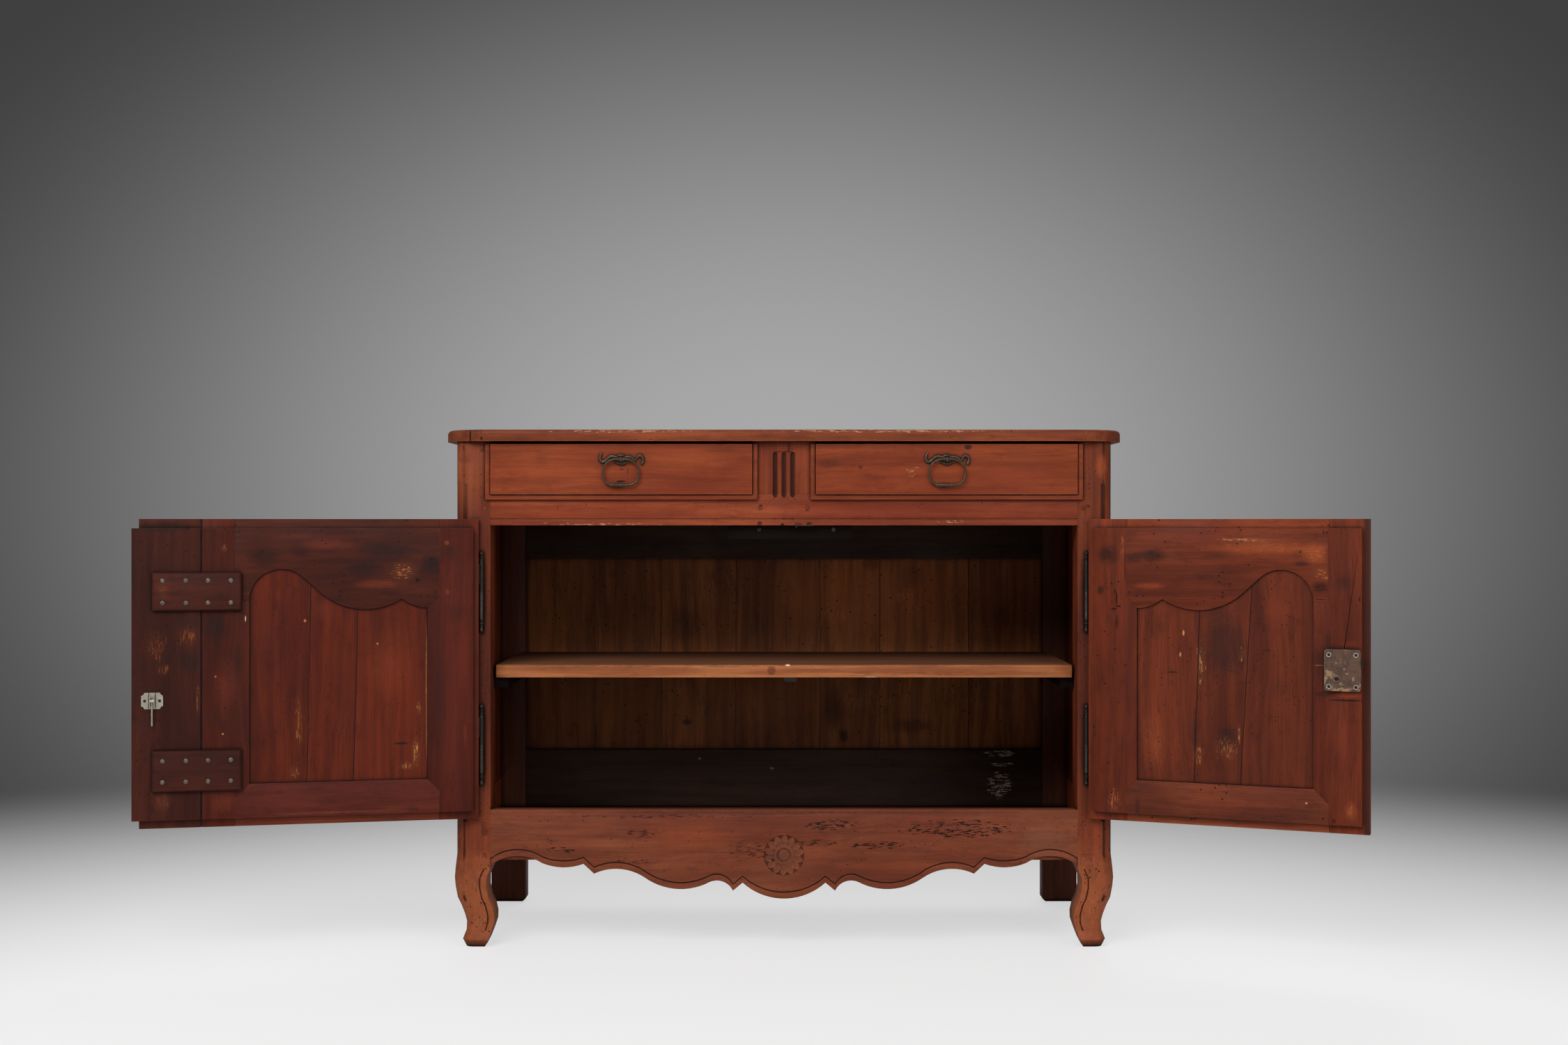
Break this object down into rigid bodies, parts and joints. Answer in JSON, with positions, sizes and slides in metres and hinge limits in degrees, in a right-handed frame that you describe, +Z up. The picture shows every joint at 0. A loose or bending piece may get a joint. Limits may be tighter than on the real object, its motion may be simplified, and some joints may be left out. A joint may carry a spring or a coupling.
{
  "type": "cabinet",
  "caption": "Cherry-wood buffet with drawers over panelled doors, curved front legs and a carved, shaped apron.",
  "frame": {"origin": "on the floor, under the middle of the carcase's depth and width", "axes": "+X to the right of someone facing the doors, +Z up, and the doors and drawers face -Y"},
  "size_m": [2.2295, 0.7712, 0.979],
  "materials": {
    "cherry": "waxed, worn",
    "pine": "bare, aged",
    "stained_boards": "bare, stained",
    "dark_iron": "dark, worn",
    "old_iron": "rust-mottled",
    "bronze": "dark patina",
    "nickel": "plated, worn"
  },
  "bodies": {
    "carcase": {"top_boards": "cherry", "left_top_cleat": "cherry", "right_top_cleat": "cherry", "left_front_leg": "cherry", "right_front_leg": "cherry", "left_back_leg": "cherry", "right_back_leg": "cherry", "front_apron": "cherry", "door_rail": "cherry", "drawer_divider": "cherry", "top_front_rail": "cherry", "left_side_rails": "cherry", "right_side_rails": "cherry", "left_side_panel": "cherry", "right_side_panel": "cherry", "back_boards": "stained_boards", "back_top_rail": "cherry", "back_bottom_rail": "cherry", "floor_boards": "stained_boards", "floor_bearers": "stained_boards", "shelf": "pine", "shelf_cleats": "stained_boards", "drawer_runners": "stained_boards", "stop_block": "cherry", "joint_pegs": "cherry", "left_hinge_pins": "dark_iron", "right_hinge_pins": "dark_iron", "rail_catch_plate": "dark_iron", "shelf_strike": "dark_iron"},
    "left_door": {"left_door_hinge_stile": "cherry", "left_door_meeting_stile": "cherry", "left_door_top_rail": "cherry", "left_door_bottom_rail": "cherry", "left_door_panel": "cherry", "left_door_false_stile": "cherry", "left_door_battens": "cherry", "left_door_hinge_halves": "dark_iron", "left_door_elbow_catch": "nickel"},
    "elbow_lever": {"left_door_elbow_lever": "nickel"},
    "right_door": {"right_door_hinge_stile": "cherry", "right_door_meeting_stile": "cherry", "right_door_top_rail": "cherry", "right_door_bottom_rail": "cherry", "right_door_panel": "cherry", "right_door_hinge_halves": "dark_iron", "right_door_lock_case": "old_iron"},
    "lock_bolt": {"right_door_lock_bolt": "old_iron"},
    "left_drawer": {"left_drawer_front": "cherry", "left_drawer_box": "stained_boards", "left_drawer_bottom": "stained_boards", "left_drawer_pull_plate": "bronze"},
    "left_bail": {"left_drawer_bail": "bronze"},
    "right_drawer": {"right_drawer_front": "cherry", "right_drawer_box": "stained_boards", "right_drawer_bottom": "stained_boards", "right_drawer_pull_plate": "bronze"},
    "right_bail": {"right_drawer_bail": "bronze"}
  },
  "joints": [
    {"name": "left_door_hinge", "type": "hinge", "parent": "carcase", "child": "left_door", "pos_m": [-0.5695, -0.2715, 0.53], "axis": [0, 0, 1], "range_deg": [-8, 167.2]},
    {"name": "right_door_hinge", "type": "hinge", "parent": "carcase", "child": "right_door", "pos_m": [0.5695, -0.2715, 0.53], "axis": [0, 0, -1], "range_deg": [-15, 156]},
    {"name": "elbow_lever_pivot", "type": "hinge", "parent": "left_door", "child": "elbow_lever", "pos_m": [-1.14309, -0.42797, 0.48075], "axis": [-0.9751, -0.2215, 0], "range_deg": [0, 60]},
    {"name": "lock_bolt_slide", "type": "slide", "parent": "right_door", "child": "lock_bolt", "axis": [0.9135, -0.4067, 0], "range_m": [0, 0.016]},
    {"name": "left_drawer_slide", "type": "slide", "parent": "carcase", "child": "left_drawer", "axis": [0, -1, 0], "range_m": [0, 0.36]},
    {"name": "left_bail_pivot", "type": "hinge", "parent": "left_drawer", "child": "left_bail", "pos_m": [-0.3065, -0.283, 0.9225], "axis": [-1, 0, 0], "range_deg": [0, 95]},
    {"name": "right_drawer_slide", "type": "slide", "parent": "carcase", "child": "right_drawer", "axis": [0, -1, 0], "range_m": [0, 0.36]},
    {"name": "right_bail_pivot", "type": "hinge", "parent": "right_drawer", "child": "right_bail", "pos_m": [0.3065, -0.283, 0.9225], "axis": [-1, 0, 0], "range_deg": [0, 95]}
  ]
}
